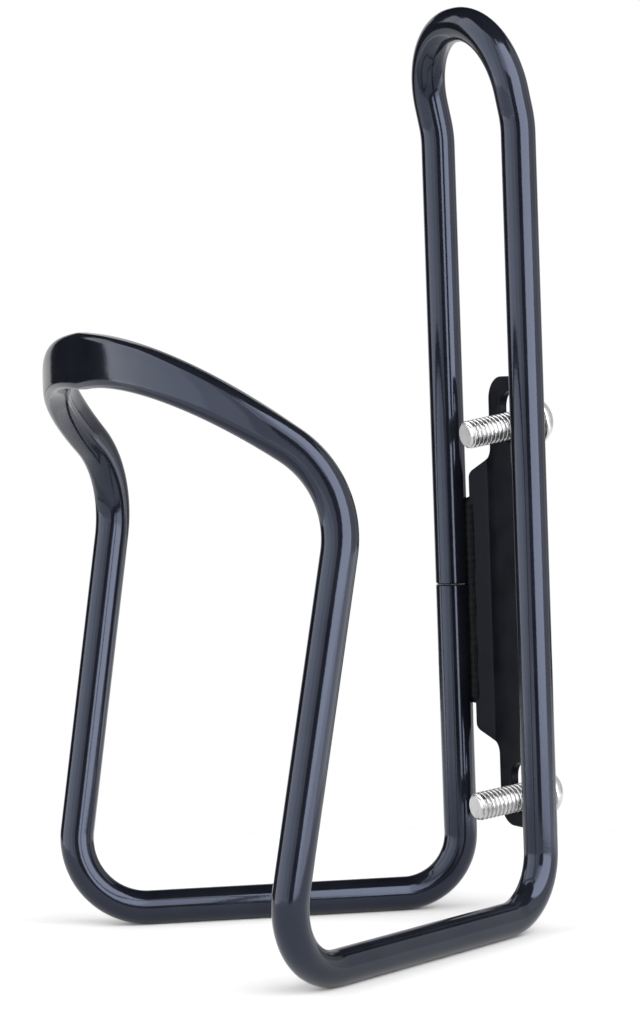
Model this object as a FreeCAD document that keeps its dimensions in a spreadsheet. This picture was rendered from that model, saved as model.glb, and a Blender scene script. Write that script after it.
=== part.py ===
"""Bicycle water bottle cage: one bent rod, a welded mounting bracket and two M5 bolts.

Frame: +Z up along the rear legs, +Y towards the bicycle frame, +X to the cage's right.
Origin: on the bracket's rear face, midway between the centres of its two slots.
"""
import FreeCAD, Part

import math
import os

import Sketcher
from FreeCAD import Placement, Rotation, Vector

DRIVING_SIZES = {
    # rod
    "rod_diameter": 5.8,
    "leg_half_spacing": 13.0,
    "leg_setback": 5.95,
    "base_drop": 51.0,
    "base_bend_radius": 10.3,
    # arch over the rear legs
    "arch_height": 98.5,
    "arch_knee_height": 81.1,
    "arch_lean": 3.7,
    "arch_radius": 12.6,
    "arch_knee_radius": 18.4,
    # front arms
    "arm_foot_spread": 39.0,
    "arm_foot_reach": 64.1,
    "arm_foot_radius": 12.1,
    "arm_top_spread": 41.35,
    "arm_top_reach": 50.2,
    "arm_top_rise": 75.05,
    "arm_top_radius": 17.0,
    # strap band round the bottle's front
    "band_shoulder_spread": 25.4,
    "band_shoulder_reach": 72.6,
    "band_shoulder_rise": 94.1,
    "band_shoulder_radius": 39.4,
    "band_front_reach": 75.05,
    "band_front_rise": 95.1,
    "band_front_radius": 40.5,
    "band_width": 9.1,
    "band_thickness": 2.9,
    "band_squareness": 5.0,
    "band_taper_power": 2.4,
    # butt seam in the left rear leg
    "seam_height": 3.0,
    "seam_gap": 0.1,
    "seam_chamfer": 0.2,
    # bracket
    "plate_thickness": 1.6,
    "plate_half_length": 38.9,
    "tab_half_width": 6.35,
    "tab_corner_radius": 4.0,
    "flare_height": 24.1,
    "flare_angle": 50.0,
    "flare_root_radius": 2.4,
    "flare_tip_radius": 1.8,
    "wing_bend_spread": 7.4,
    "wing_length": 3.6,
    "wing_angle": 38.0,
    "bend_inner_radius": 1.0,
    "slot_half_spacing": 32.0,
    "slot_radius": 2.75,
    "slot_half_travel": 1.55,
    # welds
    "weld_half_length": 18.1,
    "weld_radius": 1.5,
    # bolts
    "thread_diameter": 4.8,
    "bolt_length": 14.0,
    "tip_chamfer": 0.5,
    "head_radius": 4.3,
    "head_rim": 0.3,
    "dome_height": 2.8,
    "key_across_flats": 3.0,
    "key_depth": 2.0,
    "upper_bolt_standoff": 3.6,
    "upper_bolt_tilt": 8.0,
    "lower_bolt_standoff": 3.25,
    "lower_bolt_tilt": 5.4,
}

ARM_TOP_RIGHT = 6
ARM_TOP_LEFT = 10
BAND_STATIONS = 9
SECTION_POINTS = 28
SECTION_OVERLAP = 0.5
SECTION_INSET = 0.02


def make_sheet(doc):
    """Write the driving sizes to a spreadsheet, one named row each."""
    sheet = doc.addObject("Spreadsheet::Sheet", "Sizes")
    for row, (name, value) in enumerate(DRIVING_SIZES.items(), start=1):
        sheet.set(f"A{row}", name)
        sheet.set(f"B{row}", str(value))
        sheet.setAlias(f"B{row}", name)
    doc.recompute()
    return sheet


# ---------------------------------------------------------------- wire loop

def loop_route(size):
    """Corner points and bend radii of the rod's centreline, from the seam round to the seam."""
    base_z = -size.base_drop
    arch = (size.leg_half_spacing, size.arch_lean, size.arch_height, size.arch_radius)
    half = [
        (size.leg_half_spacing, 0.0, size.arch_knee_height, size.arch_knee_radius),
        (size.leg_half_spacing, 0.0, base_z, size.base_bend_radius),
        (size.arm_foot_spread, size.arm_foot_reach, base_z, size.arm_foot_radius),
        (size.arm_top_spread, size.arm_top_reach, base_z + size.arm_top_rise, size.arm_top_radius),
        (size.band_shoulder_spread, size.band_shoulder_reach,
         base_z + size.band_shoulder_rise, size.band_shoulder_radius),
    ]
    front = (0.0, size.band_front_reach, base_z + size.band_front_rise, size.band_front_radius)
    left_arch, left_knee, *left = [(-x, *rest) for x, *rest in [arch] + half]
    stops = [left_knee, left_arch, arch] + half + [front] + left[::-1]
    points = [Vector(x, -size.leg_setback - reach, z) for x, reach, z, _ in stops]
    radii = [radius for *_, radius in stops]
    return points, radii


def rounded_edges(points, radii, start, end):
    """Straight runs joined by tangent bends: edge 2n is a run, edge 2n + 1 the bend at point n."""
    stops = [start] + points + [end]
    edges = []
    here = start
    for before, corner, after, radius in zip(stops, points, stops[2:], radii):
        arrive = (corner - before).normalize()
        leave = (after - corner).normalize()
        turn = arrive.getAngle(leave)
        reach = radius * math.tan(turn / 2)
        inward = (leave - arrive).normalize()
        first = corner - arrive * reach
        middle = corner + inward * (radius / math.cos(turn / 2) - radius)
        last = corner + leave * reach
        edges.append(Part.LineSegment(here, first).toShape())
        edges.append(Part.Arc(first, middle, last).toShape())
        here = last
    edges.append(Part.LineSegment(here, end).toShape())
    return edges


def round_rod(size, edges):
    """Round rod swept along joined edges."""
    start = edges[0].valueAt(edges[0].FirstParameter)
    along = edges[0].tangentAt(edges[0].FirstParameter)
    profile = Part.Wire(Part.makeCircle(size.rod_diameter / 2, start, along).Edges)
    return Part.Wire(edges).makePipeShell([profile], True, False)


def break_seam_edge(shape, size, height):
    """Chamfer the rod's end edge that lies at this height."""
    ends = [edge for edge in shape.Edges
            if all(abs(corner.Z - height) < 1e-6 for corner in edge.Vertexes) and edge.isClosed()]
    return shape.makeChamfer(size.seam_chamfer, ends)


def level_side(along):
    """Level direction square to a strap that runs along."""
    return Vector(-along.y, along.x, 0).normalize()


def strap_section(centre, along, side, width, thickness, squareness):
    """Closed section of the rod: a circle at squareness 2, a flat strap with round edges above."""
    across = (side - along * side.dot(along)).normalize()
    tall = along.cross(across)
    outline = []
    for step in range(SECTION_POINTS):
        angle = 2 * math.pi * step / SECTION_POINTS
        cosine, sine = math.cos(angle), math.sin(angle)
        out = math.copysign(abs(cosine) ** (2 / squareness), cosine) * thickness / 2
        up = math.copysign(abs(sine) ** (2 / squareness), sine) * width / 2
        outline.append(centre + across * out + tall * up)
    curve = Part.BSplineCurve()
    curve.interpolate(outline, PeriodicFlag=True)
    return Part.Wire(curve.toShape())


def band_stations(edges):
    """Places along the band as (point, direction, distance), a little past both its ends."""
    places = []
    for edge in edges:
        span = edge.LastParameter - edge.FirstParameter
        for step in range(BAND_STATIONS):
            at = edge.FirstParameter + span * step / BAND_STATIONS
            places.append((edge.valueAt(at), edge.tangentAt(at)))
    last = edges[-1]
    places.append((last.valueAt(last.LastParameter), last.tangentAt(last.LastParameter)))
    stations = [(*places[0], 0.0)]
    for (point, along), (before, *_) in zip(places[1:], places):
        stations.append((point, along, stations[-1][2] + (point - before).Length))
    point, along, travel = stations[0]
    stations.insert(0, (point - along * SECTION_OVERLAP, along, travel))
    point, along, travel = stations[-1]
    stations.append((point + along * SECTION_OVERLAP, along, travel))
    return stations


def band_solid(size, edges):
    """Strap band: the rod pressed from round to flat and back to round, along its own route."""
    stations = band_stations(edges)
    total = stations[-1][2]
    bend_length = edges[0].Length
    side_at_arm = level_side(edges[1].tangentAt(0))
    round_size = size.rod_diameter - 2 * SECTION_INSET
    sections = []
    for point, along, travel in stations:
        from_end = min(travel, total - travel)
        flatness = (2 * from_end / total) ** size.band_taper_power
        side = level_side(along)
        if from_end < bend_length:
            mirror = 1 if travel < total / 2 else -1
            side = Vector(side_at_arm.x, side_at_arm.y * mirror, 0) * mirror
        width = round_size + (size.band_width - round_size) * flatness
        thickness = round_size + (size.band_thickness - round_size) * flatness
        squareness = 2 + (size.band_squareness - 2) * math.sqrt(flatness)
        sections.append(strap_section(point, along, side, width, thickness, squareness))
    return Part.makeLoft(sections, True, False)


def make_wire_loop(doc, size):
    """The whole rod: arch, legs, base rods, arms and strap band, open only at the seam."""
    points, radii = loop_route(size)
    seam = Vector(-size.leg_half_spacing, -size.leg_setback, size.seam_height)
    half_gap = Vector(0, 0, size.seam_gap / 2)
    edges = rounded_edges(points, radii, seam + half_gap, seam - half_gap)
    band_start = 2 * ARM_TOP_RIGHT + 1
    band_end = 2 * ARM_TOP_LEFT + 2
    upper = break_seam_edge(round_rod(size, edges[:band_start]), size, (seam + half_gap).z)
    lower = break_seam_edge(round_rod(size, edges[band_end:]), size, (seam - half_gap).z)
    band = band_solid(size, edges[band_start:band_end])
    loop = doc.addObject("Part::Feature", "wire_loop")
    loop.Shape = upper.fuse([band, lower])
    return loop


# ---------------------------------------------------------------- sketch helpers

def origin_sketch(body, name, role):
    """Empty sketch on one of the body's own origin planes."""
    sketch = body.newObject("Sketcher::SketchObject", name)
    plane = next(item for item in body.Origin.OriginFeatures if item.Role == role)
    sketch.AttachmentSupport = [(plane, "")]
    sketch.MapMode = "FlatFace"
    return sketch


def on_sheet(text):
    """An expression in which each @ marks a name of the sheet."""
    return text.replace("@", "Sizes.")


def worth(sketch, text):
    """What an expression comes to now."""
    return float(sketch.evalExpression(on_sheet(text)))


def sketch_point(sketch, corner):
    """Point in the sketch's plane that a pair of expressions gives."""
    return Vector(*(worth(sketch, text) for text in corner), 0)


def pin_value(sketch, kind, *place, text):
    """Add a dimension to a sketch, bound to an expression."""
    value = worth(sketch, text)
    index = sketch.addConstraint(Sketcher.Constraint(kind, *place, value))
    sketch.setExpression(f"Constraints[{index}]", on_sheet(text))


def short_arc(first, last, centre):
    """Arc of under half a turn between two points, and the ends of it where they lie."""
    start, stop = (math.atan2(place.y - centre.y, place.x - centre.x) for place in (first, last))
    forwards = (stop - start) % (2 * math.pi) < math.pi
    circle = Part.Circle(centre, Vector(0, 0, 1), (first - centre).Length)
    if forwards:
        return Part.ArcOfCircle(circle, start, stop), (1, 2)
    return Part.ArcOfCircle(circle, stop, start), (2, 1)


def add_outline(sketch, corners, arcs=None):
    """Closed outline with a pair of expressions for each corner.

    arcs gives (centre, radius) expressions for each stretch that is an arc, by its first corner.
    """
    arcs = arcs or {}
    places = [sketch_point(sketch, corner) for corner in corners]
    first = sketch.GeometryCount
    count = len(places)
    ends = []
    for index, place in enumerate(places):
        after = places[(index + 1) % count]
        stretch, meets = Part.LineSegment(place, after), (1, 2)
        if index in arcs:
            stretch, meets = short_arc(place, after, sketch_point(sketch, arcs[index][0]))
        sketch.addGeometry(stretch, False)
        ends.append(meets)
    for index, (across, up) in enumerate(corners):
        after = (index + 1) % count
        joint = (first + index, ends[index][1], first + after, ends[after][0])
        sketch.addConstraint(Sketcher.Constraint("Coincident", *joint))
        pin_value(sketch, "DistanceX", -1, 1, first + index, ends[index][0], text=across)
        pin_value(sketch, "DistanceY", -1, 1, first + index, ends[index][0], text=up)
    for index, (_, radius) in arcs.items():
        pin_value(sketch, "Radius", first + index, text=radius)


def add_slot(sketch, middle):
    """Upright slot whose middle is at the height that the expression middle gives."""
    radius = worth(sketch, "@slot_radius")
    ends = [f"{middle} + @slot_half_travel", f"{middle} - @slot_half_travel"]
    heights = [worth(sketch, text) for text in ends]
    first = sketch.GeometryCount
    for height, start in zip(heights, (0.0, math.pi)):
        circle = Part.Circle(Vector(0, height, 0), Vector(0, 0, 1), radius)
        sketch.addGeometry(Part.ArcOfCircle(circle, start, start + math.pi), False)
    top, bottom, left, right = range(first, first + 4)
    upper, lower = heights
    sketch.addGeometry(Part.LineSegment(Vector(-radius, upper, 0), Vector(-radius, lower, 0)), False)
    sketch.addGeometry(Part.LineSegment(Vector(radius, lower, 0), Vector(radius, upper, 0)), False)
    for ends_meet in ((top, 2, left, 1), (left, 2, bottom, 1), (bottom, 2, right, 1), (right, 2, top, 1)):
        sketch.addConstraint(Sketcher.Constraint("Tangent", *ends_meet))
    for arc, text in zip((top, bottom), ends):
        sketch.addConstraint(Sketcher.Constraint("PointOnObject", arc, 3, -2))
        pin_value(sketch, "DistanceY", -1, 1, arc, 3, text=text)
    pin_value(sketch, "Radius", top, text="@slot_radius")


# ---------------------------------------------------------------- bracket

def cut_through(body, sketch, name):
    """Pocket a sketch through the whole body, both ways."""
    pocket = body.newObject("PartDesign::Pocket", name)
    pocket.Profile = sketch
    pocket.Type = "ThroughAll"
    pocket.Midplane = True
    return pocket


def round_edges(body, name, radius, chosen):
    """Fillet the edges of the body's tip that a test picks."""
    body.Document.recompute()
    tip = body.Tip
    edges = [f"Edge{number}" for number, edge in enumerate(tip.Shape.Edges, start=1) if chosen(edge)]
    fillet = body.newObject("PartDesign::Fillet", name)
    fillet.Base = (tip, edges)
    fillet.setExpression("Radius", on_sheet(radius))
    return fillet


def is_straight_along(edge, axis):
    """Is the edge a straight line along this axis?"""
    return edge.Curve.TypeId == "Part::GeomLine" and abs(abs(edge.tangentAt(0).dot(axis)) - 1) < 1e-6


WING_TIP = "(@wing_bend_spread + @wing_length * cos(@wing_angle))"
REAR_BEND = "(@wing_bend_spread + @plate_thickness * tan(@wing_angle / 2))"


def bracket_section():
    """Corners of the plate's section: a level web whose two wings bend forwards."""
    right = [
        ("@wing_bend_spread", "-@plate_thickness"),
        (WING_TIP, "-@plate_thickness - @wing_length * sin(@wing_angle)"),
        (WING_TIP, f"-({WING_TIP} - {REAR_BEND}) * tan(@wing_angle)"),
        (REAR_BEND, "0"),
    ]
    left = [("-" + across, up) for across, up in reversed(right)]
    return right + left


def add_notch(sketch, side, end):
    """What is cut away beside a tab, with an S-shaped flare from the tab out to the wing's tip."""
    tab, root, tip = "@tab_half_width", "@flare_root_radius", "@flare_tip_radius"
    rise, turn = "sin(@flare_angle)", "(1 - cos(@flare_angle))"
    drop = (f"(({root} + {tip}) * {rise}"
            f" + ({WING_TIP} - {tab} - ({root} + {tip}) * {turn}) / tan(@flare_angle))")
    top, foot = f"(@flare_height + {drop} / 2)", f"(@flare_height - {drop} / 2)"
    far, high = f"({WING_TIP} + @plate_thickness)", "(@plate_half_length + @plate_thickness)"
    corners = [
        (tab, top),
        (f"({tab} + {root} * {turn})", f"({top} - {root} * {rise})"),
        (f"({WING_TIP} - {tip} * {turn})", f"({foot} + {tip} * {rise})"),
        (WING_TIP, foot),
        (far, foot), (far, high), (tab, high),
    ]
    centres = [(f"({tab} + {root})", top), (f"({WING_TIP} - {tip})", foot)]
    corners, centres = ([(side + across, end + up) for across, up in places]
                        for places in (corners, centres))
    add_outline(sketch, corners, {0: (centres[0], root), 2: (centres[1], tip)})


def make_bracket(doc, size):
    """Stamped plate: two slotted tabs on one web, and a middle part whose wings reach the legs."""
    body = doc.addObject("PartDesign::Body", "mounting_bracket")
    section = origin_sketch(body, "bracket_section", "XY_Plane")
    add_outline(section, bracket_section())
    plate = body.newObject("PartDesign::Pad", "bracket_plate")
    plate.Profile = section
    plate.Midplane = True
    plate.setExpression("Length", on_sheet("2 * @plate_half_length"))
    upright = Vector(0, 0, 1)
    through = Vector(0, 1, 0)
    bend_front = size.wing_bend_spread
    round_edges(body, "bend_inside", "@bend_inner_radius", lambda edge: (
        is_straight_along(edge, upright)
        and abs(abs(edge.Vertexes[0].X) - bend_front) < 1e-4
        and abs(edge.Vertexes[0].Y + size.plate_thickness) < 1e-4))
    round_edges(body, "bend_outside", "@bend_inner_radius + @plate_thickness", lambda edge: (
        is_straight_along(edge, upright)
        and abs(edge.Vertexes[0].X) > bend_front
        and abs(edge.Vertexes[0].Y) < 1e-4))
    notches = origin_sketch(body, "tab_notches", "XZ_Plane")
    for side in ("", "-"):
        for end in ("", "-"):
            add_notch(notches, side, end)
    cut_through(body, notches, "tabs")
    slots = origin_sketch(body, "slot_outlines", "XZ_Plane")
    for end in ("", "-"):
        add_slot(slots, f"{end}@slot_half_spacing")
    cut_through(body, slots, "slots")
    round_edges(body, "tab_ends", "@tab_corner_radius", lambda edge: (
        is_straight_along(edge, through)
        and abs(abs(edge.Vertexes[0].Z) - size.plate_half_length) < 1e-4))
    return body


# ---------------------------------------------------------------- welds

def make_weld(doc, size, bracket, name, side):
    """Weld bead: a rod of filler along a leg, cut back to the leg and to the bracket's wing."""
    across = f"{side} * ({WING_TIP} + @weld_radius / 2)"
    back = "-@wing_length * sin(@wing_angle) - @plate_thickness / 2"
    bead = doc.addObject("Part::Cylinder", f"{name}_filler")
    leg = doc.addObject("Part::Cylinder", f"{name}_leg")
    bead.setExpression("Radius", on_sheet("@weld_radius"))
    bead.setExpression("Height", on_sheet("2 * @weld_half_length"))
    bead.setExpression("Placement.Base.x", on_sheet(across))
    bead.setExpression("Placement.Base.y", on_sheet(back))
    bead.setExpression("Placement.Base.z", on_sheet("-@weld_half_length"))
    leg.setExpression("Radius", on_sheet("@rod_diameter / 2"))
    leg.setExpression("Height", on_sheet("4 * @weld_half_length"))
    leg.setExpression("Placement.Base.x", on_sheet(f"{side} * @leg_half_spacing"))
    leg.setExpression("Placement.Base.y", on_sheet("-@leg_setback"))
    leg.setExpression("Placement.Base.z", on_sheet("-2 * @weld_half_length"))
    beside_leg = doc.addObject("Part::Cut", f"{name}_beside_leg")
    beside_leg.Base = bead
    beside_leg.Tool = leg
    weld = doc.addObject("Part::Cut", name)
    weld.Base = beside_leg
    weld.Tool = bracket
    return weld


# ---------------------------------------------------------------- bolts

def bolt_feature(doc, kind, name, along, **sizes):
    """One primitive of a bolt, which stands on +Z at this height, with sizes bound to the sheet."""
    feature = doc.addObject(kind, name)
    for prop, text in sizes.items():
        feature.setExpression(prop, on_sheet(text))
    feature.setExpression("Placement.Base.z", on_sheet(along))
    return feature


def make_bolt(doc, name, height):
    """Domed-head M5 bolt through a slot from behind, tilted a little nose down.

    It is modelled on +Z with the underside of its head at zero, then turned to point forwards.
    """
    radius, rim, dome = "@thread_diameter / 2", "@head_rim", "@dome_height"
    ball_radius = f"(@head_radius ^ 2 + {dome} ^ 2) / (2 * {dome})"
    apex = f"-{rim} - {dome}"
    shank = bolt_feature(doc, "Part::Cylinder", f"{name}_shank", "0",
                         Radius=radius, Height="@bolt_length - @tip_chamfer")
    tip = bolt_feature(doc, "Part::Cone", f"{name}_tip", "@bolt_length - @tip_chamfer",
                       Radius1=radius, Radius2=f"{radius} - @tip_chamfer", Height="@tip_chamfer")
    disc = bolt_feature(doc, "Part::Cylinder", f"{name}_disc", apex,
                        Radius="@head_radius", Height=f"{rim} + {dome}")
    ball = bolt_feature(doc, "Part::Sphere", f"{name}_ball", f"{apex} + {ball_radius}",
                        Radius=ball_radius)
    key = bolt_feature(doc, "Part::Prism", f"{name}_key", f"{apex} - @key_depth",
                       Circumradius="@key_across_flats / 2 / cos(30)", Height="2 * @key_depth")
    head = doc.addObject("Part::MultiCommon", f"{name}_head")
    head.Shapes = [disc, ball]
    blank = doc.addObject("Part::MultiFuse", f"{name}_blank")
    blank.Shapes = [head, shank, tip]
    bolt = doc.addObject("Part::Cut", name)
    bolt.Base = blank
    bolt.Tool = key
    standoff, tilt = f"@{name}_standoff", f"@{name}_tilt"
    bolt.Placement = Placement(Vector(), Rotation(Vector(1, 0, 0), 90))
    bolt.setExpression("Placement.Rotation.Angle", on_sheet(f"90 + {tilt}"))
    bolt.setExpression("Placement.Base.y", on_sheet(standoff))
    bolt.setExpression("Placement.Base.z", on_sheet(
        f"{height} - @slot_half_travel + ({standoff} + @plate_thickness / 2) * tan({tilt})"))
    return bolt


# ---------------------------------------------------------------- assembly

def check_document(doc, pieces):
    """Stop if any object failed, or any piece isn't one or more valid solids."""
    for obj in doc.Objects:
        if {"Invalid", "Error"} & set(obj.State):
            raise RuntimeError(f"{obj.Name} failed: {obj.State}")
    for piece in pieces:
        shape = piece.Shape
        if shape.isNull() or not shape.isValid() or not shape.Solids:
            raise RuntimeError(f"{piece.Name} has no valid solid")


def main():
    """Build the cage and write each piece to its own file."""
    doc = FreeCAD.newDocument("bottle_cage")
    size = make_sheet(doc)
    bracket = make_bracket(doc, size)
    pieces = [
        make_wire_loop(doc, size),
        bracket,
        make_weld(doc, size, bracket, "weld_left", -1),
        make_weld(doc, size, bracket, "weld_right", 1),
        make_bolt(doc, "upper_bolt", "@slot_half_spacing"),
        make_bolt(doc, "lower_bolt", "-@slot_half_spacing"),
    ]
    for piece in pieces:
        piece.Label = piece.Name
    doc.recompute()
    check_document(doc, pieces)
    os.makedirs("parts", exist_ok=True)
    for piece in pieces:
        piece.Shape.exportStep(f"parts/{piece.Label}.step")
        box = piece.Shape.BoundBox
        print(f"{piece.Label}: {len(piece.Shape.Solids)} solid, {piece.Shape.Volume:.1f} mm3,",
              f"x {box.XMin:.2f} {box.XMax:.2f} y {box.YMin:.2f} {box.YMax:.2f} z {box.ZMin:.2f} {box.ZMax:.2f}")


main()
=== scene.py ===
"""Looks of a bicycle bottle cage: gloss black bent rod, satin bracket, weld beads and steel bolts.

Metres, in the CAD's own frame: +Z up along the rear legs, +Y towards the bicycle.
"""

import math
from itertools import accumulate

import bmesh
import bpy
from mathutils import Matrix, Vector


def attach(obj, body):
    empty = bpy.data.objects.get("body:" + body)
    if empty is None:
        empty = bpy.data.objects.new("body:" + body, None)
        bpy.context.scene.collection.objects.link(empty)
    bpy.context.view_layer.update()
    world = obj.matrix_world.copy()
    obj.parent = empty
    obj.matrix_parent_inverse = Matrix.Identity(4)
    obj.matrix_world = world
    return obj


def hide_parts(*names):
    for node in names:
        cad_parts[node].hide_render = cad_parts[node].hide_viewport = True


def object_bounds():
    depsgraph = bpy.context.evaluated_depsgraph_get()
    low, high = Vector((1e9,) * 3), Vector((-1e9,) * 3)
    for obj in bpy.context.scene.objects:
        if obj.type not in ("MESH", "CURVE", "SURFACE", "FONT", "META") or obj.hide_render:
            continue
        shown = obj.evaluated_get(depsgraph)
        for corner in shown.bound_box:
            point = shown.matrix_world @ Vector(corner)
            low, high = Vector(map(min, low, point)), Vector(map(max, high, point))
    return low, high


MM = 0.001

# ---------------------------------------------------------------- sizes, as in the CAD

ROD_RADIUS = 2.9 * MM
LEG_HALF_SPACING = 13.0 * MM
LEG_SETBACK = 5.95 * MM
BASE_Z = -51.0 * MM
SEAM_Z = 3.0 * MM
SEAM_GAP = 0.1 * MM
SEAM_CHAMFER = 0.2 * MM
# Corners of the rod's right half, from the arch to the shoulder, as
# (spread from the middle, reach in front of the legs, height above the origin, bend radius).
ARCH = (13.0 * MM, 3.7 * MM, 98.5 * MM, 12.6 * MM)
ARCH_KNEE = (13.0 * MM, 0.0, 81.1 * MM, 18.4 * MM)
BASE_CORNER = (13.0 * MM, 0.0, BASE_Z, 10.3 * MM)
ARM_FOOT = (39.0 * MM, 64.1 * MM, BASE_Z, 12.1 * MM)
ARM_TOP = (41.35 * MM, 50.2 * MM, BASE_Z + 75.05 * MM, 17.0 * MM)
SHOULDER = (25.4 * MM, 72.6 * MM, BASE_Z + 94.1 * MM, 39.4 * MM)
BAND_FRONT = (0.0, 75.05 * MM, BASE_Z + 95.1 * MM, 40.5 * MM)
BAND_WIDTH = 9.1 * MM
BAND_THICKNESS = 2.9 * MM
BAND_SQUARENESS = 5.0
BAND_TAPER_POWER = 2.4
ARM_TOP_CORNER = 6
BAND_BENDS = 5

PLATE_THICKNESS = 1.6 * MM
PLATE_HALF_LENGTH = 38.9 * MM
TAB_HALF_WIDTH = 6.35 * MM
TAB_CORNER_RADIUS = 4.0 * MM
FLARE_HEIGHT = 24.1 * MM
FLARE_ANGLE = math.radians(50)
FLARE_ROOT_RADIUS = 2.4 * MM
FLARE_TIP_RADIUS = 1.8 * MM
WING_BEND_SPREAD = 7.4 * MM
WING_LENGTH = 3.6 * MM
WING_ANGLE = math.radians(38)
BEND_INNER_RADIUS = 1.0 * MM
SLOT_HALF_SPACING = 32.0 * MM
SLOT_RADIUS = 2.75 * MM
SLOT_HALF_TRAVEL = 1.55 * MM
PLATE_EDGE = 0.22 * MM
WING_TIP = WING_BEND_SPREAD + WING_LENGTH * math.cos(WING_ANGLE)
REAR_BEND = WING_BEND_SPREAD + PLATE_THICKNESS * math.tan(WING_ANGLE / 2)

WELD_HALF_LENGTH = 18.1 * MM
WELD_RADIUS = 1.5 * MM
WELD_RIPPLE_PITCH = 1.35 * MM
WELD_RIPPLE_DEPTH = 0.08 * MM
WELD_RIPPLE_LAG = 0.35 * MM
# Slow changes of the weld's radius along it, as (share of the radius, wave length / tau, phase).
WELD_WANDERS = ((0.05, 3.1 * MM, 0), (0.04, 1.9 * MM, 1))

THREAD_RADIUS = 2.4 * MM
THREAD_PITCH = 0.8 * MM
THREAD_DEPTH = 0.42 * MM
THREAD_CREST = 0.28
THREAD_FLANK = 0.62
BOLT_LENGTH = 14.0 * MM
TIP_CHAMFER = 0.5 * MM
HEAD_RADIUS = 4.3 * MM
HEAD_RIM = 0.3 * MM
DOME_HEIGHT = 2.8 * MM
KEY_HALF_FLATS = 1.5 * MM
KEY_DEPTH = 2.0 * MM
KEY_LIP = 0.10 * MM
# The head's side as (inset from the full radius, depth behind the underside).
HEAD_SIDE = ((-0.14 * MM, 0.0), (-0.04 * MM, 0.03 * MM), (0.0, 0.12 * MM), (0.0, 0.24 * MM))
BOLTS = {
    # name: (slot's middle height, standoff behind the bracket, tilt nose down)
    "upper_bolt": (SLOT_HALF_SPACING, 3.6 * MM, math.radians(8.0)),
    "lower_bolt": (-SLOT_HALF_SPACING, 3.25 * MM, math.radians(5.4)),
}

# How finely the meshes are divided.
ROD_SIDES = 72
BEND_STEP = math.radians(2.5)
BAND_STEP = 0.8 * MM
RUN_STEP = 4 * MM
PLATE_ARC_STEPS = 10
SLOT_ARC_STEPS = 24
WING_BEND_CUTS = 10
WELD_SIDES = 36
WELD_STEP = 0.15 * MM
BOLT_SIDES = 72
THREAD_STEP = 0.06 * MM
DOME_STEPS = 12
MERGE_DISTANCE = 0.001 * MM

CAMERA_AZIMUTH = 61.49
CAMERA_ELEVATION = 2.92
CAMERA_ROLL = -2.02
CAMERA_DISTANCE = 531.93 * MM
CAMERA_TARGET = Vector((-16.205, -30.065, 16.3)) * MM
CAMERA_LENS = 108.34

STAGE_RADIUS = 0.12
# A level panel under the table: how far down, how steeply its edge lies, and its radiance.
FLOOR_GLOW_DROP = 1.5
FLOOR_GLOW_EDGE = 26
FLOOR_GLOW_RADIANCE = 0.9
PANEL_DISTANCE = 2.5
# Upright softboxes as (name, left, right, bottom, top, radiance): angles in degrees seen from the
# object, across from the camera's direction and up from the horizon.
PANELS = (
    ("right_key", 12, 68, -8, 60, 6.5),
    ("right_key_low", 12, 68, -18, -8, 4.2),
    ("right_fill", 68, 92, -9, 45, 1.3),
    ("right_far", 92, 125, -9, 45, 0.9),
    ("right_low", 68, 118, -22, -9, 2.4),
    ("right_back", 125, 152, -5, 30, 0.4),
    ("over_camera_right", 0, 12, 14, 62, 4.4),
    ("over_camera_left", -15, 0, 17, 50, 2.8),
    ("left_near", -30, -13, -8, 60, 1.4),
    ("left_middle", -55, -30, -8, 60, 2.2),
    ("left_far", -106, -55, -8, 60, 2.8),
    ("left_low", -104, -13, -24, -8, 1.45),
    ("left_back", -122, -106, 15, 42, 2.0),
    ("backdrop_left", -180, -146, -6, 25, 0.8),
    ("backdrop_right", 152, 180, -6, 25, 0.6),
    ("low_back_left", -180, -104, -28, -7, 1.0),
    ("low_back_right", 118, 180, -28, -7, 1.0),
)
# The same for panels that light only the bolts.
STEEL_FILLS = (
    ("steel_front", -40, 12, -25, 60, 1.1),
    ("steel_right", 92, 180, -25, 50, 0.25),
)


# ---------------------------------------------------------------- shader helpers

def new_material(name):
    """A node material and its shader."""
    material = bpy.data.materials.new(name)
    material.use_nodes = True
    return material, material.node_tree.nodes["Principled BSDF"]


def add_node(tree, kind, **inputs):
    """Add a node and set its inputs by name, with _ for a space."""
    node = tree.nodes.new(kind)
    for name, value in inputs.items():
        node.inputs[name.replace("_", " ")].default_value = value
    return node


def noise_at(tree, size, detail=3.0, roughness=0.55, stretch=(1, 1, 1)):
    """Noise whose grains are about this size in metres, fixed to the object."""
    place = tree.nodes.new("ShaderNodeTexCoord")
    mapping = add_node(tree, "ShaderNodeMapping", Scale=stretch)
    noise = add_node(tree, "ShaderNodeTexNoise", Scale=1 / size, Detail=detail, Roughness=roughness)
    tree.links.new(place.outputs["Object"], mapping.inputs["Vector"])
    tree.links.new(mapping.outputs["Vector"], noise.inputs["Vector"])
    return noise.outputs["Fac"]


def remap(tree, source, low, high):
    """Stretch the middle of a noise value to a range."""
    node = add_node(tree, "ShaderNodeMapRange", From_Min=0.3, From_Max=0.7, To_Min=low, To_Max=high)
    tree.links.new(source, node.inputs["Value"])
    return node.outputs["Result"]


def mix_colours(tree, source, dark, light):
    """Blend between two colours by a noise value."""
    ramp = tree.nodes.new("ShaderNodeValToRGB")
    ramp.color_ramp.elements[0].position = 0.35
    ramp.color_ramp.elements[1].position = 0.65
    ramp.color_ramp.elements[0].color = (*dark, 1)
    ramp.color_ramp.elements[1].color = (*light, 1)
    tree.links.new(source, ramp.inputs["Fac"])
    return ramp.outputs["Color"]


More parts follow.
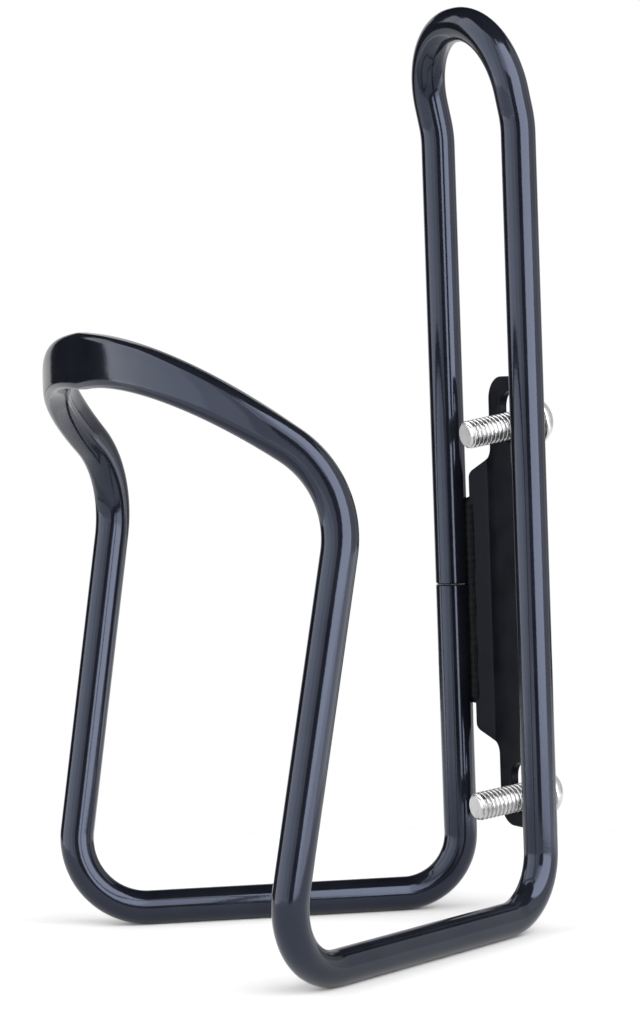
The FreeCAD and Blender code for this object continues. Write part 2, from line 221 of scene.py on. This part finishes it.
def bump(tree, source, depth, below=None):
    """Bump of this depth in metres, over another bump where one is given."""
    node = add_node(tree, "ShaderNodeBump", Strength=1.0, Distance=depth)
    tree.links.new(source, node.inputs["Height"])
    if below:
        tree.links.new(below, node.inputs["Normal"])
    return node.outputs["Normal"]


# ---------------------------------------------------------------- materials

def gloss_black_paint():
    """Smooth gloss coat with a slight blue cast, faint orange peel and long soft waves."""
    material, shader = new_material("gloss_black_rod")
    tree = material.node_tree
    patches = noise_at(tree, 9 * MM, detail=2)
    peel = noise_at(tree, 0.7 * MM, detail=2)
    waves = noise_at(tree, 6 * MM, detail=1)
    specks = noise_at(tree, 0.16 * MM, detail=4)
    colour = mix_colours(tree, patches, (0.0034, 0.0037, 0.0056), (0.0052, 0.0058, 0.0086))
    normal = bump(tree, peel, 0.006 * MM, below=bump(tree, waves, 0.016 * MM))
    tree.links.new(colour, shader.inputs["Base Color"])
    tree.links.new(remap(tree, specks, 0.085, 0.15), shader.inputs["Roughness"])
    tree.links.new(normal, shader.inputs["Normal"])
    shader.inputs["Specular Tint"].default_value = (0.64, 0.73, 1.0, 1)
    return material


def satin_black_paint():
    """Thinner satin coat on the stamped plate, with a fine grain and faint rolling marks."""
    material, shader = new_material("satin_black_plate")
    tree = material.node_tree
    grain = noise_at(tree, 0.28 * MM, detail=5, roughness=0.65)
    patches = noise_at(tree, 5 * MM)
    marks = noise_at(tree, 1.2 * MM, stretch=(1, 1, 0.08))
    colour = mix_colours(tree, patches, (0.0022, 0.0025, 0.0036), (0.004, 0.0044, 0.006))
    normal = bump(tree, grain, 0.02 * MM, below=bump(tree, marks, 0.012 * MM))
    tree.links.new(colour, shader.inputs["Base Color"])
    tree.links.new(remap(tree, patches, 0.30, 0.42), shader.inputs["Roughness"])
    tree.links.new(normal, shader.inputs["Normal"])
    shader.inputs["Specular IOR Level"].default_value = 0.12
    shader.inputs["Specular Tint"].default_value = (0.72, 0.78, 1.0, 1)
    return material


def painted_weld():
    """Paint over a weld: semi-gloss, a little lumpy."""
    material, shader = new_material("black_weld")
    tree = material.node_tree
    lumps = noise_at(tree, 0.9 * MM, detail=3)
    grain = noise_at(tree, 0.2 * MM, detail=4)
    colour = mix_colours(tree, lumps, (0.0018, 0.002, 0.0028), (0.003, 0.0033, 0.0044))
    normal = bump(tree, grain, 0.012 * MM, below=bump(tree, lumps, 0.06 * MM))
    tree.links.new(colour, shader.inputs["Base Color"])
    tree.links.new(remap(tree, lumps, 0.30, 0.45), shader.inputs["Roughness"])
    tree.links.new(normal, shader.inputs["Normal"])
    shader.inputs["Specular IOR Level"].default_value = 0.1
    return material


def bright_steel():
    """Bright stainless steel, tumbled: fine satin grain with small tone changes."""
    material, shader = new_material("stainless_steel")
    tree = material.node_tree
    grain = noise_at(tree, 0.12 * MM, detail=5, roughness=0.7)
    patches = noise_at(tree, 1.8 * MM)
    colour = mix_colours(tree, patches, (0.51, 0.51, 0.515), (0.58, 0.58, 0.585))
    tree.links.new(colour, shader.inputs["Base Color"])
    tree.links.new(remap(tree, patches, 0.25, 0.33), shader.inputs["Roughness"])
    tree.links.new(bump(tree, grain, 0.004 * MM), shader.inputs["Normal"])
    shader.inputs["Metallic"].default_value = 1.0
    return material


# ---------------------------------------------------------------- mesh helpers

def skin_rings(rings):
    """Skin a row of closed rings with quads, and close both ends."""
    mesh = bmesh.new()
    rows = [[mesh.verts.new(point) for point in ring] for ring in rings]
    count = len(rows[0])
    for row, after in zip(rows, rows[1:]):
        for side in range(count):
            beside = (side + 1) % count
            mesh.faces.new((row[side], row[beside], after[beside], after[side]))
    mesh.faces.new(rows[0][::-1])
    mesh.faces.new(rows[-1])
    return mesh


def make_piece(mesh, name, material, body, sharp=math.radians(40)):
    """Turn a bmesh into a smooth-shaded piece with sharp edges past an angle, this material,
    attached to its body.
    """
    bmesh.ops.recalc_face_normals(mesh, faces=mesh.faces)
    data = bpy.data.meshes.new(name)
    mesh.to_mesh(data)
    mesh.free()
    data.polygons.foreach_set("use_smooth", [True] * len(data.polygons))
    data.set_sharp_from_angle(angle=sharp)
    data.materials.append(material)
    piece = bpy.data.objects.new(name, data)
    bpy.context.scene.collection.objects.link(piece)
    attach(piece, body)
    return piece


def circle(radius, sides):
    """Points of a level circle."""
    return [Vector((radius * math.cos(turn), radius * math.sin(turn), 0))
            for turn in (math.tau * side / sides for side in range(sides))]


def smooth_step(share):
    """Ease from 0 to 1."""
    share = min(max(share, 0.0), 1.0)
    return share * share * (3 - 2 * share)


# ---------------------------------------------------------------- rod

def route_corners():
    """Corners and bend radii of the rod's centreline, from the seam up over the arch and round."""
    half = [ARCH_KNEE, BASE_CORNER, ARM_FOOT, ARM_TOP, SHOULDER]
    left_arch, left_knee, *left = [(-spread, *rest) for spread, *rest in [ARCH] + half]
    stops = [left_knee, left_arch, ARCH] + half + [BAND_FRONT] + left[::-1]
    corners = [Vector((spread, -LEG_SETBACK - reach, height)) for spread, reach, height, _ in stops]
    return corners, [radius for *_, radius in stops]


def bend_places(before, corner, after, radius):
    """Where a bend starts and ends, its sweep, and a function that walks round it."""
    arrive = (corner - before).normalized()
    leave = (after - corner).normalized()
    sweep = arrive.angle(leave)
    reach = radius * math.tan(sweep / 2)
    first = corner - arrive * reach
    inward = (leave - arrive * arrive.dot(leave)).normalized()

    def walk(angle):
        point = first + arrive * radius * math.sin(angle) + inward * radius * (1 - math.cos(angle))
        return point, arrive * math.cos(angle) + inward * math.sin(angle)

    return first, corner + leave * reach, sweep, walk


def straight_run(start, end):
    """Places along a straight run as (point, direction), without its end."""
    along = (end - start).normalized()
    steps = max(1, round((end - start).length / RUN_STEP))
    return [(start.lerp(end, step / steps), along) for step in range(steps)]


def rod_stations(start, end):
    """Places along the rod as (point, direction), in runs and bends, one list for each."""
    corners, radii = route_corners()
    stops = [start] + corners + [end]
    pieces = []
    here = start
    for before, corner, after, radius in zip(stops, corners, stops[2:], radii):
        first, last, sweep, walk = bend_places(before, corner, after, radius)
        pieces.append(straight_run(here, first))
        steps = max(2, math.ceil(max(sweep / BEND_STEP, sweep * radius / BAND_STEP)))
        pieces.append([walk(sweep * step / steps) for step in range(steps)])
        here = last
    last_run = straight_run(here, end)
    pieces.append(last_run + [(end, last_run[0][1])])
    return pieces


def path_length(places):
    """Distance along a row of places, at each of them."""
    steps = [(after[0] - before[0]).length for before, after in zip(places, places[1:])]
    return list(accumulate(steps, initial=0.0))


def level_side(along):
    """Level direction square to a strap that runs along."""
    return Vector((-along.y, along.x, 0)).normalized()


def carry(side, along):
    """Keep a side direction square to the rod as it turns."""
    return (side - along * side.dot(along)).normalized()


def strap_section(place, along, side, flatness, radius):
    """Section of the rod: from a circle at flatness 0 to a strap with round edges at 1."""
    tall = along.cross(side)
    thickness = radius + (BAND_THICKNESS / 2 - radius) * flatness
    width = radius + (BAND_WIDTH / 2 - radius) * flatness
    power = 2 / (2 + (BAND_SQUARENESS - 2) * math.sqrt(flatness))
    points = []
    for step in range(ROD_SIDES):
        turn = math.tau * step / ROD_SIDES
        cosine, sine = math.cos(turn), math.sin(turn)
        out = math.copysign(abs(cosine) ** power, cosine) * thickness
        up = math.copysign(abs(sine) ** power, sine) * width
        points.append(place + side * out + tall * up)
    return points


def band_sides(places, travel, bend_length):
    """Side direction at each place of the band: level, and fixed through the bends at its ends."""
    total = travel[-1]
    outer = next(level_side(along) for (_, along), far in zip(places, travel) if far > bend_length)
    sides = []
    for (_, along), far in zip(places, travel):
        side = level_side(along)
        if min(far, total - far) < bend_length:
            side = Vector((outer.x if far < total / 2 else -outer.x, outer.y, 0))
        sides.append(carry(side, along))
    return sides


def build_rod(material):
    """The whole rod as one swept skin, open only at the seam."""
    seam = Vector((-LEG_HALF_SPACING, -LEG_SETBACK, SEAM_Z))
    half_gap = Vector((0, 0, SEAM_GAP / 2))
    pieces = rod_stations(seam + half_gap, seam - half_gap)
    first_band = 2 * ARM_TOP_CORNER + 1
    last_band = first_band + 2 * BAND_BENDS - 1
    before = [place for piece in pieces[:first_band] for place in piece]
    band = [place for piece in pieces[first_band:last_band] for place in piece]
    band.append(pieces[last_band][0])
    after = [place for piece in pieces[last_band:] for place in piece][1:]

    travel = path_length(band)
    total = travel[-1]
    sides = band_sides(band, travel, travel[len(pieces[first_band])])
    flatness = [(2 * min(far, total - far) / total) ** BAND_TAPER_POWER for far in travel]

    lead, side = [], sides[0]
    for _, along in reversed(before):
        side = carry(side, along)
        lead.append(side)
    tail, side = [], sides[-1]
    for _, along in after:
        side = carry(side, along)
        tail.append(side)
    places = before + band + after
    sides = lead[::-1] + sides + tail
    flatness = [0.0] * len(before) + flatness + [0.0] * len(after)

    rings = [strap_section(point, along, side, flat, ROD_RADIUS)
             for (point, along), side, flat in zip(places, sides, flatness)]
    for end, inward in ((0, Vector((0, 0, 1))), (-1, Vector((0, 0, -1)))):
        (point, along), side = places[end], sides[end]
        shoulder = strap_section(point + inward * SEAM_CHAMFER, along, side, 0, ROD_RADIUS)
        rim = strap_section(point, along, side, 0, ROD_RADIUS - SEAM_CHAMFER)
        rings[end] = shoulder
        rings.insert(0 if end == 0 else len(rings), rim)
    mesh = skin_rings(rings)
    rod = make_piece(mesh, "rod_loop", material, "cage")
    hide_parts("wire_loop")


# ---------------------------------------------------------------- bracket

def arc_points(across, up, radius, start, end, steps=PLATE_ARC_STEPS):
    """Points of an arc in the plate's plane, with angles in degrees."""
    turns = (math.radians(start + (end - start) * step / steps) for step in range(steps + 1))
    return [(across + radius * math.cos(turn), up + radius * math.sin(turn)) for turn in turns]


def plate_outline():
    """Outline of the plate from the front: two rounded tabs that flare out to the wings' tips."""
    root, tip, angle = FLARE_ROOT_RADIUS, FLARE_TIP_RADIUS, FLARE_ANGLE
    turned = (root + tip) * (1 - math.cos(angle))
    drop = (root + tip) * math.sin(angle) + (WING_TIP - TAB_HALF_WIDTH - turned) / math.tan(angle)
    top, foot = FLARE_HEIGHT + drop / 2, FLARE_HEIGHT - drop / 2
    degrees = math.degrees(angle)
    corner = TAB_CORNER_RADIUS
    quarter = arc_points(TAB_HALF_WIDTH - corner, PLATE_HALF_LENGTH - corner, corner, 90, 0)
    quarter += arc_points(TAB_HALF_WIDTH + root, top, root, 180, 180 + degrees)
    quarter += arc_points(WING_TIP - tip, foot, tip, degrees, 0)
    right = quarter + [(across, -up) for across, up in reversed(quarter)]
    return right + [(-across, up) for across, up in reversed(right)]


def slot_outline(middle):
    """Outline of an upright slot."""
    upper = arc_points(0, middle + SLOT_HALF_TRAVEL, SLOT_RADIUS, 0, 180, steps=SLOT_ARC_STEPS)
    lower = arc_points(0, middle - SLOT_HALF_TRAVEL, SLOT_RADIUS, 180, 360, steps=SLOT_ARC_STEPS)
    return upper + lower


def flat_plate(outlines, thickness, edge):
    """Mesh of a flat plate with holes and softened edges, in the XY plane."""
    curve = bpy.data.curves.new("plate_outline", "CURVE")
    curve.dimensions = "2D"
    curve.fill_mode = "BOTH"
    curve.extrude = thickness / 2 - edge
    curve.bevel_depth = edge
    curve.bevel_resolution = 2
    curve.offset = -edge
    for outline in outlines:
        spline = curve.splines.new("POLY")
        spline.points.add(len(outline) - 1)
        for point, (across, up) in zip(spline.points, outline):
            point.co = (across, up, 0, 1)
        spline.use_cyclic_u = True
    blank = bpy.data.objects.new("plate_outline", curve)
    bpy.context.scene.collection.objects.link(blank)
    data = bpy.data.meshes.new_from_object(blank)
    bpy.data.objects.remove(blank)
    mesh = bmesh.new()
    mesh.from_mesh(data)
    bmesh.ops.remove_doubles(mesh, verts=mesh.verts, dist=MERGE_DISTANCE)
    return mesh


def wing_drop(across, corner, radius):
    """How far a face of the plate bends forwards at a distance from the middle."""
    along = across - corner + radius * math.tan(WING_ANGLE / 2)
    if along <= 0:
        return 0.0
    if along < radius * math.sin(WING_ANGLE):
        return radius - math.sqrt(radius ** 2 - along ** 2)
    return (across - corner) * math.tan(WING_ANGLE)


def build_bracket(material):
    """Stamped bracket: a flat plate with slots, cut across its bends, then bent forwards."""
    slots = [slot_outline(SLOT_HALF_SPACING), slot_outline(-SLOT_HALF_SPACING)]
    mesh = flat_plate([plate_outline()] + slots, PLATE_THICKNESS, PLATE_EDGE)
    outer_radius = BEND_INNER_RADIUS + PLATE_THICKNESS
    start = REAR_BEND - outer_radius * math.tan(WING_ANGLE / 2)
    span = outer_radius * math.sin(WING_ANGLE)
    for side in (-1, 1):
        for cut in range(WING_BEND_CUTS + 1):
            across = side * (start + span * cut / WING_BEND_CUTS)
            bmesh.ops.bisect_plane(mesh, geom=mesh.verts[:] + mesh.edges[:] + mesh.faces[:],
                                   plane_co=(across, 0, 0), plane_no=(1, 0, 0),
                                   dist=MERGE_DISTANCE)
    for vert in mesh.verts:
        across, up, through = vert.co
        rear = -wing_drop(abs(across), REAR_BEND, outer_radius)
        front = -PLATE_THICKNESS - wing_drop(abs(across), WING_BEND_SPREAD, BEND_INNER_RADIUS)
        share = through / PLATE_THICKNESS + 0.5
        vert.co = (across, rear + (front - rear) * share, up)
    bracket = make_piece(mesh, "bracket_plate", material, "cage")
    weigh = bracket.modifiers.new("face_weighted_normals", "WEIGHTED_NORMAL")
    weigh.keep_sharp = True
    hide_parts("mounting_bracket")


# ---------------------------------------------------------------- welds

def build_weld(material, name, node, side):
    """Weld bead with overlapping ripples, in the corner between a wing and its leg."""
    across = side * (WING_TIP + WELD_RADIUS / 2)
    back = -WING_LENGTH * math.sin(WING_ANGLE) - PLATE_THICKNESS / 2
    rows = round(2 * WELD_HALF_LENGTH / WELD_STEP)
    rings = []
    for row in range(rows + 1):
        along = -WELD_HALF_LENGTH + 2 * WELD_HALF_LENGTH * row / rows
        end = min(WELD_HALF_LENGTH - abs(along), WELD_RADIUS) / WELD_RADIUS
        rounded = math.sqrt(max(1 - (1 - end) ** 2, 0.02))
        wander = sum(share * math.sin(along / wave + phase) for share, wave, phase in WELD_WANDERS)
        ring = []
        for point in circle(1, WELD_SIDES):
            lag = WELD_RIPPLE_LAG * abs(point.x)
            phase = ((along + lag) / WELD_RIPPLE_PITCH) % 1
            scallop = WELD_RIPPLE_DEPTH * (1 - math.sin(math.pi * phase) ** 0.6)
            radius = (WELD_RADIUS * (1 - abs(wander)) - scallop) * rounded
            ring.append(Vector((across + point.x * radius, back + point.y * radius, along)))
        rings.append(ring)
    mesh = skin_rings(rings)
    weld = make_piece(mesh, name, material, "cage", sharp=math.radians(60))
    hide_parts(node)


# ---------------------------------------------------------------- bolts

def thread_radius(turn, along):
    """Radius of the thread at an angle and a distance from the head's underside."""
    phase = (along / THREAD_PITCH - turn / math.tau) % 1
    groove = smooth_step((abs(2 * phase - 1) - THREAD_CREST) / THREAD_FLANK)
    to_tip = BOLT_LENGTH - along
    outside = THREAD_RADIUS - TIP_CHAMFER + to_tip
    return min(THREAD_RADIUS - THREAD_DEPTH * groove, outside)


def hexagon_radius(turn, half_flats):
    """Radius of a hexagon at an angle."""
    sixth = math.pi / 3
    return half_flats / math.cos((turn % sixth) - sixth / 2)


def dome_depth(radius):
    """How far the dome lies behind the head's underside at a radius."""
    ball = (HEAD_RADIUS ** 2 + DOME_HEIGHT ** 2) / (2 * DOME_HEIGHT)
    return HEAD_RIM + DOME_HEIGHT - ball + math.sqrt(ball ** 2 - radius ** 2)


def bolt_rings():
    """Rings of a bolt on its own axis, from the tip's face to the floor of the socket."""
    turns = [math.tau * side / BOLT_SIDES for side in range(BOLT_SIDES)]

    def ring(radius_at, along_at):
        radii = [radius_at(turn) for turn in turns]
        return [Vector((radius * math.cos(turn), radius * math.sin(turn), along_at(radius)))
                for turn, radius in zip(turns, radii)]

    rings = [ring(lambda turn: THREAD_RADIUS - TIP_CHAMFER, lambda _: BOLT_LENGTH)]
    rows = round(BOLT_LENGTH / THREAD_STEP)
    for row in range(1, rows + 1):
        along = BOLT_LENGTH * (1 - row / rows)
        rings.append(ring(lambda turn: thread_radius(turn, along), lambda _: along))
    for inset, depth in HEAD_SIDE:
        rings.append(ring(lambda turn: HEAD_RADIUS + inset, lambda _: -depth))
    corner_radius = KEY_HALF_FLATS / math.cos(math.pi / 6)
    outer, inner = HEAD_RADIUS - 0.03 * MM, corner_radius + 0.35 * MM
    for step in range(DOME_STEPS + 1):
        radius = outer + (inner - outer) * step / DOME_STEPS
        rings.append(ring(lambda turn: radius, lambda at: -dome_depth(at)))

    def mouth(turn):
        return hexagon_radius(turn, KEY_HALF_FLATS + KEY_LIP)

    def wall(turn):
        return hexagon_radius(turn, KEY_HALF_FLATS)

    for share in (0.5, 0.85):
        rings.append(ring(lambda turn: inner + (mouth(turn) - inner) * share,
                          lambda at: -dome_depth(at)))
    rings.append(ring(mouth, lambda at: -dome_depth(at)))
    rings.append(ring(wall, lambda _: -dome_depth(KEY_HALF_FLATS) + KEY_LIP))
    floor = -(HEAD_RIM + DOME_HEIGHT) + KEY_DEPTH
    rings.append(ring(wall, lambda _: floor))
    rings.append(ring(lambda turn: KEY_HALF_FLATS * 0.9, lambda _: floor + 0.08 * MM))
    rings.append(ring(lambda turn: KEY_HALF_FLATS * 0.15, lambda _: floor + 0.5 * MM))
    return rings


def build_bolt(material, name):
    """Threaded bolt with a domed head and a hexagon socket, in its slot."""
    height, standoff, tilt = BOLTS[name]
    slot_drop = -SLOT_HALF_TRAVEL + (standoff + PLATE_THICKNESS / 2) * math.tan(tilt)
    place = Matrix.Translation((0, standoff, height + slot_drop))
    turn = Matrix.Rotation(math.pi / 2 + tilt, 4, "X")
    mesh = skin_rings(bolt_rings())
    bmesh.ops.transform(mesh, matrix=place @ turn, verts=mesh.verts)
    bolt = make_piece(mesh, f"{name}_steel", material, name,
                      sharp=math.radians(38))
    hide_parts(name)
    return bolt


# ---------------------------------------------------------------- stage, light and camera

def camera_direction(azimuth, elevation):
    """Direction from the object to a camera, with both angles in degrees."""
    turn, rise = math.radians(azimuth), math.radians(elevation)
    level = math.cos(rise)
    return Vector((math.sin(turn) * level, -math.cos(turn) * level, math.sin(rise)))


def add_camera():
    """Camera low and to the right of the front, with a slight roll."""
    back = camera_direction(CAMERA_AZIMUTH, CAMERA_ELEVATION)
    right = camera_direction(CAMERA_AZIMUTH + 90, 0)
    turn = Matrix((right, back.cross(right), back)).transposed().to_4x4()
    roll = Matrix.Rotation(math.radians(CAMERA_ROLL), 4, "Z")
    camera = bpy.data.objects.new("camera", bpy.data.cameras.new("camera"))
    camera.data.lens = CAMERA_LENS
    camera.data.clip_start = 0.01
    camera.matrix_world = Matrix.Translation(CAMERA_TARGET + back * CAMERA_DISTANCE) @ turn @ roll
    bpy.context.scene.collection.objects.link(camera)
    bpy.context.scene.camera = camera


def add_panel(name, left, right, bottom, top, radiance):
    """Upright softbox between angles seen from the object, across from the camera and up."""
    half = math.radians(right - left) / 2
    low, high = (PANEL_DISTANCE * math.tan(math.radians(angle)) for angle in (bottom, top))
    light = bpy.data.lights.new(name, "AREA")
    light.shape = "RECTANGLE"
    light.size = 2 * PANEL_DISTANCE * math.tan(half)
    light.size_y = high - low
    light.energy = radiance * math.pi * light.size * light.size_y
    panel = bpy.data.objects.new(name, light)
    outward = camera_direction(CAMERA_AZIMUTH + (left + right) / 2, 0)
    middle = outward * PANEL_DISTANCE + Vector((0, 0, (low + high) / 2))
    facing = outward.to_track_quat("Z", "Y").to_matrix().to_4x4()
    panel.matrix_world = Matrix.Translation(middle) @ facing
    panel.visible_camera = False
    bpy.context.scene.collection.objects.link(panel)
    return panel


def add_floor_glow():
    """Level panel far below the table, which stands for a wide white floor in the reflections."""
    light = bpy.data.lights.new("floor_glow", "AREA")
    light.size = 2 * FLOOR_GLOW_DROP / math.tan(math.radians(FLOOR_GLOW_EDGE))
    light.energy = FLOOR_GLOW_RADIANCE * math.pi * light.size ** 2
    panel = bpy.data.objects.new("floor_glow", light)
    facing_up = Matrix.Rotation(math.pi, 4, "X")
    panel.matrix_world = Matrix.Translation((0, 0, -FLOOR_GLOW_DROP)) @ facing_up
    panel.visible_camera = False
    bpy.context.scene.collection.objects.link(panel)


def add_stage():
    """White round table top under the base rods."""
    mesh = bmesh.new()
    bmesh.ops.create_circle(mesh, cap_ends=True, radius=STAGE_RADIUS, segments=128)
    data = bpy.data.meshes.new("table_top")
    mesh.to_mesh(data)
    mesh.free()
    material, shader = new_material("white_paper")
    tree = material.node_tree
    tone = mix_colours(tree, noise_at(tree, 60 * MM), (0.485, 0.485, 0.485), (0.495, 0.495, 0.495))
    tree.links.new(tone, shader.inputs["Base Color"])
    shader.inputs["Roughness"].default_value = 1.0
    shader.inputs["Specular IOR Level"].default_value = 0.0
    data.materials.append(material)
    table = bpy.data.objects.new("table_top", data)
    table.location = (0, cad_box[0].y / 2, BASE_Z - ROD_RADIUS)
    bpy.context.scene.collection.objects.link(table)


def add_light(steel_pieces):
    """White surroundings that reflections don't show, and panels with a dark gap at the camera."""
    world = bpy.data.worlds.new("white_room")
    world.use_nodes = True
    world.node_tree.nodes["Background"].inputs["Color"].default_value = (1, 1, 1, 1)
    bpy.context.scene.world = world
    world.cycles_visibility.glossy = False
    for name, *edges, radiance in PANELS:
        add_panel(name, *edges, radiance)
    add_floor_glow()
    steel = bpy.data.collections.new("steel_pieces")
    for piece in steel_pieces:
        steel.objects.link(piece)
    for name, *edges, radiance in STEEL_FILLS:
        add_panel(name, *edges, radiance).light_linking.receiver_collection = steel
    bpy.context.scene.view_settings.view_transform = "Standard"


# ---------------------------------------------------------------- scene


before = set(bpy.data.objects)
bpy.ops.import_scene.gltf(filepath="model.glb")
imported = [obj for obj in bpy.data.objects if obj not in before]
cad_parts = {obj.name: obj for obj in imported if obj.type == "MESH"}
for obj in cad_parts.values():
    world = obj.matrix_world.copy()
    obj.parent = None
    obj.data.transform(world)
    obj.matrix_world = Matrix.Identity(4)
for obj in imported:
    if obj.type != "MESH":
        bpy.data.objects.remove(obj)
cad_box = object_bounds()
build_rod(gloss_black_paint())
build_bracket(satin_black_paint())
weld_paint = painted_weld()
build_weld(weld_paint, "weld_bead_left", "weld_left", -1)
build_weld(weld_paint, "weld_bead_right", "weld_right", 1)
steel = bright_steel()
bolts = [build_bolt(steel, name) for name in BOLTS]
add_stage()
add_light(bolts)
add_camera()
